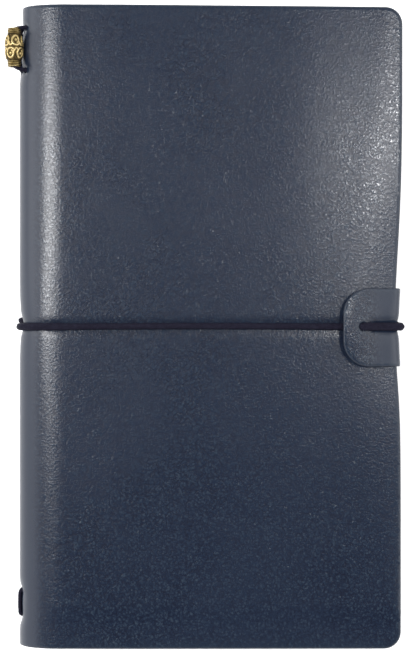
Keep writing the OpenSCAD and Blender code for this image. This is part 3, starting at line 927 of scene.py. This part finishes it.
def spine_elastics():
    """One loop for each booklet; the bead sits on the front booklet's."""
    centre = (bead_low + bead_high) / 2
    fold_z = {"a": BOOKLETS["a"][1][2] - BOOKLET_DEPTH, "b": FOLD_PLANE,
              "c": (BOOKLETS["c"][0][2] + BOOKLETS["c"][1][2]) / 2}
    for k, hole_z in LOOP_Z.items():
        outside = (centre[0], centre[2]) if k == "a" else None
        route = loop_route(fold_z[k], hole_z, TAIL_Z[k], outside)
        piece = braided_cord(f"elastic_loop_{k}", route, CORD_R, ELASTIC, step=0.6, sides=16)
        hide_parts(f"spine_elastic_{k}")
        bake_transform(piece)


def band_top(x):
    """Height of the band's centre on the front cover."""
    return front_top(x) + BAND_REST


def flap_top(x):
    """Height of the flap's outer face along the band."""
    return front_top(x, 0) + tab_lift(x, 0.0) + TAB_T


def front_route(meet_x):
    """Out of the spine, round it and over the front cover to the flap's tip."""
    hole_z = BAND_FRONT[1]
    route = [(SPINE_X + 2.6, 0.1, hole_z), (SPINE_X + 0.9, 0, hole_z),
             (SPINE_X - 0.35, 0, hole_z + 0.3), (SPINE_X - 0.82, 0, hole_z + 1.5)]
    for turn in np.radians([32, 44, 56, 68, 80]):
        x = ROUND_X - (ROUND_W + 0.75) * math.cos(turn) ** (2 / ROUND_POWER)
        z = MID_Z + (MID_Z + BAND_REST - 0.2) * math.sin(turn) ** (2 / ROUND_POWER)
        route.append((x, 0, z))
    route += [(x, 0.2 * math.sin((x + 46) / 28), band_top(x)) for x in (-44, -25, -5, 15, 32)]
    return route + [(meet_x, 0, band_top(meet_x))]


def tab_route(start):
    """Over the flap from its buttonhole, down the strap and back under the book."""
    thick = BAND_R + 0.3
    bend_z = fold_centre_z()
    reach = TAB_BEND + thick - 1.0
    wall = STRAP_X - 0.4
    route = [start, (HOLE_X + 0.3, 0, flap_top(HOLE_X) + 0.1),
             (HOLE_X + 1.9, 0, flap_top(HOLE_X + 1.9) + thick - 0.35)]
    route += [(x, 0, flap_top(x) + thick - 0.2) for x in (HOLE_X + 4.5, HOLE_X + 7)]
    for turn in np.radians([75, 50, 25]):
        route.append((TAB_BEND_X + reach * math.cos(turn), 0, bend_z + reach * math.sin(turn)))
    route += [(wall, 0.2, 11), (wall, BAND_EDGE_Y, 5), (wall - 0.15, BAND_EDGE_Y, 2.9),
              (wall - 0.9, BAND_EDGE_Y, 1.7), (wall - 2.4, BAND_EDGE_Y, BAND_REST)]
    return route + [(x, float(band_back_y(x)), BAND_REST) for x in (45, 20, -5, -30, -44)]


def back_route(start):
    """From under the back cover round the spine and in at its hole."""
    y, hole_z = BAND_BACK
    return [start, (-50, float(band_back_y(-50)), BAND_REST), (-56, y, BAND_REST + 0.05), (-58.8, y, 1.75),
            (-60.4, y, 3.6), (SPINE_X - 1.0, y, 5.6), (SPINE_X - 0.95, y, 7.3),
            (SPINE_X - 0.2, y, hole_z), (SPINE_X + 1.0, y, hole_z), (SPINE_X + 2.6, y, hole_z)]


def closure_band():
    """The band in four runs."""
    def front_radius(p):
        return BAND_R + 0.2 * smooth((-36 - p[:, 0]) / 20) + 0.1 * smooth((p[:, 0] - 30) / 12)

    def tab_radius(p):
        return BAND_R + 0.3 * smooth((p[:, 0] - 40) / 6) * smooth((p[:, 2] - 1) / 3)

    meet_x = TAB_TIP + 1.2
    front_run = braided_cord("band_front_run", front_route(meet_x), front_radius, ELASTIC,
                             flat_ends=(False, True))
    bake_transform(front_run)

    in_hole = (HOLE_X - 0.5, 0, flap_top(HOLE_X) - 1.3)
    rise = [(x, 0, band_top(x)) for x in (meet_x, meet_x + 1.8)]
    rise += [(HOLE_X - 1.6, 0, band_top(HOLE_X) + 0.45), in_hole]
    link = braided_cord("band_link", rise, BAND_R + 0.15, ELASTIC, flat_ends=(True, True))
    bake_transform(link)

    over = tab_route(in_hole)
    tab_run = braided_cord("band_tab_run", over, tab_radius, ELASTIC, flat_ends=(True, True))
    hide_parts("closure_band")
    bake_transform(tab_run)

    back_end = braided_cord("band_back_end", back_route(over[-1]), BAND_R, ELASTIC, flat_ends=(True, False))
    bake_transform(back_end)


def knot():
    """An overhand knot in the band's ends, behind the spine."""
    low, high = box_mm("band_knot")
    centre, half = (low + high) / 2, (high - low) / 2
    turns = np.linspace(0, 2 * math.pi, 40)
    route = [(centre[0] + 0.2 * half[0] * math.sin(3 * t),
              centre[1] + 0.30 * half[1] * (math.sin(t) + 2 * math.sin(2 * t)),
              centre[2] + 0.24 * half[2] * (math.cos(t) - 2 * math.cos(2 * t))) for t in turns]
    piece = braided_cord("band_end_knot", route, 0.5, ELASTIC, step=0.3, sides=12, flat_ends=(True, True))
    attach(piece, "spine")
    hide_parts("band_knot")


# ---------------------------------------------------------------- bead

def scroll_relief(u, v, period):
    """Height of a raised scroll pattern, two rows of curls, at each point of the barrel."""
    row_v, line_half, dot_r = 2.12, 0.38, 0.5
    turns = np.radians(np.linspace(-150, 235, 70))
    radius = np.linspace(1.6, 0.9, 70)
    curl = np.stack([radius * np.cos(turns), radius * 1.12 * np.sin(turns)], axis=1)
    sag = np.sin(np.linspace(0, math.pi, 16))
    link = np.stack([np.linspace(-1.35, -period + 1.1, 16), -0.75 - 0.9 * sag], axis=1)
    relief = np.zeros_like(u)
    for row, centre_v, shift in ((1, row_v, 0.0), (-1, -row_v, period / 2)):
        x = (u - shift + period / 2) % period - period / 2
        y = (v - centre_v) * row
        nearest = np.full_like(u, 9.0)
        for px, py in np.concatenate([curl, link]):
            for wrap in (-period, 0, period):
                nearest = np.minimum(nearest, np.hypot(x - px - wrap, y - py))
        ridge = np.clip(1 - (nearest / line_half) ** 2, 0, 1) ** 0.6
        dot = np.clip(1 - (np.hypot(x, y) / dot_r) ** 2, 0, 1) ** 0.5
        here = np.clip((2.35 - np.abs(v - centre_v)) / 0.3, 0, 1)
        relief = np.maximum(relief, np.maximum(ridge, dot) * here)
    return relief


def bead():
    """A pierced barrel with ringed collars and a rubbed scroll relief."""
    centre, half = (bead_low + bead_high) / 2, (bead_high - bead_low) / 2
    length, top_r = half[1], half[0]
    around, rows = 160, 110
    collar, bore = 1.55, 1.12
    relief_h, curls = 0.3, 5
    v = np.linspace(-length, length, rows)
    turns = np.linspace(0, 2 * math.pi, around, endpoint=False)
    barrel = length - collar
    in_barrel = np.abs(v) < barrel
    base = np.where(in_barrel, top_r - 1.0 + 0.75 * np.cos(v / barrel * math.pi / 2) ** 0.8, top_r - 0.95)
    rings = np.where(in_barrel, 0, 0.12 * np.cos((np.abs(v) - barrel) / collar * math.pi * 6))
    soft = np.clip((length - np.abs(v)) / 0.35, 0, 1)
    outline = base + rings - 0.2 * (1 - np.sqrt(soft))
    angle, height = np.meshgrid(turns, v)
    period = 2 * math.pi * top_r / curls
    relief = scroll_relief(angle * top_r, height, period) * in_barrel[:, None]

    def ring_points(radius, angles, y):
        across, up = radius * np.cos(angles), radius * np.sin(angles)
        return np.stack([centre[0] + across, centre[1] + y, centre[2] + up], axis=-1).reshape(-1, 3)

    verts = [ring_points(outline[:, None] + relief_h * relief, angle, height)]
    lip = (length - 0.06, bore + 0.12)
    throat = (length - 0.3, bore)
    for end, (y, r) in ((1, lip), (1, throat), (-1, throat), (-1, lip)):
        verts.append(ring_points(r, turns, np.full(around, end * y)))
    total = rows + 4
    faces = []
    for i in range(total):
        j = (i + 1) % total
        for k in range(around):
            m = (k + 1) % around
            faces.append([i * around + k, i * around + m, j * around + m, j * around + k])
    piece = new_mesh("bead", np.concatenate(verts), faces, [BRONZE])
    collar_shade = (0.38 + 4.0 * rings)[:, None] * np.ones(around)
    shade = np.where(in_barrel[:, None], 0.10 + 0.85 * relief, collar_shade)
    point_value(piece, "relief", np.concatenate([shade.ravel(), np.full(4 * around, 0.05)]))
    piece.data.set_sharp_from_angle(angle=math.radians(60))
    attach(piece, "bead")
    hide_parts("charm_bead")


# ---------------------------------------------------------------- booklets

def folded_path(low_z, high_z, drop_low, drop_high, share, inset, end_x):
    """Centre line of a sheet folded round a booklet's spine. share runs from 0 on the
    outside of the booklet to 0.5 at its centre."""
    def level(x, part):
        u = (x - FOLD_X) / (PAGE_X - FOLD_X)
        bottom, top = low_z - drop_low * u, high_z - drop_high * u
        return bottom + (top - bottom) * part

    rx = 2.1 * (1 - 1.7 * share) + 0.1
    fold_x = FOLD_X + inset + rx
    xs = np.linspace(end_x, fold_x, 22)
    lower = [(x, level(x, share)) for x in xs]
    middle = level(fold_x, 0.5)
    half = middle - level(fold_x, share)
    bend = [(fold_x - rx * math.sin(t), middle - half * math.cos(t))
            for t in np.linspace(0, math.pi, 14)[1:-1]]
    upper = [(x, level(x, 1 - share)) for x in xs[::-1]]
    return lower + bend + upper


def closed_booklet(key, body, drop_low, drop_high, full_low, full_high):
    """A stapled booklet that stays shut: a card cover round nested folded leaves."""
    card = folded_path(full_low + CARD_IN, full_high - CARD_IN, drop_low, drop_high, 0.0, CARD_IN, PAGE_X)
    cover = strips(f"booklet_{key}_card", [card], CARD - 0.04, [KRAFT], ripple=0.02)
    sheets = 8
    paths = []
    for k in range(sheets):
        share = 0.095 + 0.39 * (k + 0.2) / sheets
        end = PAGE_X - SHEET_TRIM + RANDOM.uniform(-0.12, 0.12)
        paths.append(folded_path(full_low, full_high, drop_low, drop_high, share, 0.55 + 0.1 * k, end))
    leaves = strips(f"booklet_{key}_sheets", paths, 0.17, [PAPER])
    for piece, node, slot in ((cover, "cover", "booklet_card"), (leaves, "leaves", "booklet_paper")):
        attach(piece, body)
        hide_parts(f"booklet_{key}_{node}")


def open_half(side, body, name, drop):
    """Half of the middle booklet; side is 1 above the opening and -1 below it."""
    def face(x):
        return BOOKLET_DEPTH - drop * (x - FOLD_X) / (PAGE_X - FOLD_X)

    round_r = 1.6
    card = [(x, face(x) - CARD_IN) for x in np.linspace(PAGE_X, FOLD_X + round_r, 26)]
    card += [(FOLD_X + CARD_IN + (round_r - CARD_IN) * (1 - math.sin(t)),
              BOOKLET_DEPTH - CARD_IN - round_r * (1 - math.cos(t)))
             for t in np.linspace(0, math.pi / 2, 8)[1:]]
    card = [(x, FOLD_PLANE + side * z) for x, z in card + [(FOLD_X + CARD_IN, 0.28)]]
    cover = strips(f"booklet_b_card_{name}", [card], CARD - 0.04, [KRAFT], ripple=0.02)
    leaves, first_gap, card_gap = 9, 0.13, 0.55
    paths = []
    for k in range(leaves):
        share = (k + 0.5) / leaves
        end = PAGE_X - SHEET_TRIM + RANDOM.uniform(-0.12, 0.12)
        gutter_x = np.linspace(FOLD_X + 7.4, FOLD_X + 0.75, 10)
        path = []
        for x in np.concatenate([np.linspace(end, FOLD_X + 8, 18), gutter_x]):
            flat = first_gap + share * (face(x) - card_gap - first_gap)
            dip = (1.05 - 0.95 * share) * float(smooth((FOLD_X + 5.2 - x) / 4.2))
            path.append((x, FOLD_PLANE + side * (flat + max(0.0, dip))))
        paths.append(path)
    kinds = [1] + [0] * (leaves - 1)
    pages = strips(f"booklet_b_sheets_{name}", paths, 0.15, [PAPER, RULED], kinds, ripple=0.03)
    for piece, node, slot in ((cover, "cover", "booklet_card"), (pages, "leaves", "booklet_paper")):
        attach(piece, body)
        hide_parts(f"booklet_b_{node}_{name}")


def booklets():
    """Booklets C, A and B. The upper two thin towards the fore-edge, as the front cover sinks."""
    drop_b, drop_a, gap = 0.4, 2.0, 0.1
    closed_booklet("c", "back_cover", 0, 0, BOOKLETS["c"][0][2], BOOKLETS["c"][1][2])
    closed_booklet("a", "front_booklet", drop_b, drop_a, half_front[1][2] + gap, BOOKLETS["a"][1][2])
    open_half(1, "middle_leaves", "front", drop_b)
    open_half(-1, "back_cover", "back", 0)
    for k in "abc":
        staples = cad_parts[f"booklet_{k}_staples"]
        for i in range(len(staples.data.materials)):
            staples.data.materials[i] = STEEL


# ---------------------------------------------------------------- stage, in metres

BOOK_CENTRE = Vector((0, 0, 0.01))


def soft_box(name, centre, size, power):
    """A rectangular lamp that looks at the book; metres and watts."""
    light = bpy.data.lights.new(name, "AREA")
    light.shape = "RECTANGLE"
    light.size, light.size_y = size
    light.energy = power
    lamp = bpy.data.objects.new(name, light)
    lamp.location = centre
    lamp.rotation_euler = (BOOK_CENTRE - Vector(centre)).to_track_quat("-Z", "Y").to_euler()
    bpy.context.scene.collection.objects.link(lamp)


def floor():
    size = 3.0
    corners = [(-size, -size), (size, -size), (size, size), (-size, size)]
    just_below = -0.00005
    mesh = bpy.data.meshes.new("floor")
    mesh.from_pydata([(x, y, just_below) for x, y in corners], [], [(0, 1, 2, 3)])
    mesh.materials.append(pale_floor())
    ground = bpy.data.objects.new("floor", mesh)
    bpy.context.scene.collection.objects.link(ground)


def lamps():
    soft_box("key_left", (-0.46, 0.13, 0.95), (0.26, 0.33), 5.4)
    soft_box("key_right", (0.35, 0.17, 1.0), (0.08, 0.15), 2.1)
    soft_box("side_left", (-0.95, 0.22, 0.60), (0.55, 0.80), 2.2)
    soft_box("side_right", (0.80, 0.10, 0.75), (0.60, 0.70), 1.8)


def surroundings():
    """A pale horizon that fades to a dim zenith, which a glossy cover mirrors."""
    world = bpy.data.worlds.new("studio")
    bpy.context.scene.world = world
    world.use_nodes = True
    tree = world.node_tree
    where = tree.nodes.new("ShaderNodeTexCoord").outputs["Generated"]
    up = tree.nodes.new("ShaderNodeSeparateXYZ")
    tree.links.new(where, up.inputs[0])
    ramp = tree.nodes.new("ShaderNodeValToRGB")
    ramp.color_ramp.interpolation = "EASE"
    ramp.color_ramp.elements[0].position = 0.5
    ramp.color_ramp.elements[0].color = (1.0, 1.0, 1.0, 1)
    ramp.color_ramp.elements[1].position = 0.88
    ramp.color_ramp.elements[1].color = (0.055, 0.060, 0.070, 1)
    tree.links.new(up.outputs[2], ramp.inputs[0])
    background = tree.nodes["Background"]
    tree.links.new(ramp.outputs[0], background.inputs[0])
    background.inputs[1].default_value = 1.6
    bpy.context.scene.view_settings.view_transform = "Standard"


def straight_down_camera():
    camera = bpy.data.cameras.new("camera")
    distance, half_view = 0.490, 0.10322       # half_view is what it sees at the front cover's height
    camera.sensor_width = 36
    camera.lens = camera.sensor_width / 2 * distance / half_view
    camera.clip_start, camera.clip_end = 0.01, 20
    eye = bpy.data.objects.new("camera", camera)
    eye.location = (-0.00085, -0.00044, TOP_Z * MM + distance)
    eye.rotation_euler = (0, 0, 0)
    bpy.context.scene.collection.objects.link(eye)
    bpy.context.scene.camera = eye


# ---------------------------------------------------------------- the whole

floor()
lamps()
surroundings()
straight_down_camera()
front = front_half()
back_spine = back_spine_half()
back_fore = back_fore_half()
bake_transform(front)
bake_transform(back_spine)
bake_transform(back_fore)
spine_elastics()
closure_band()
knot()
bead()
booklets()
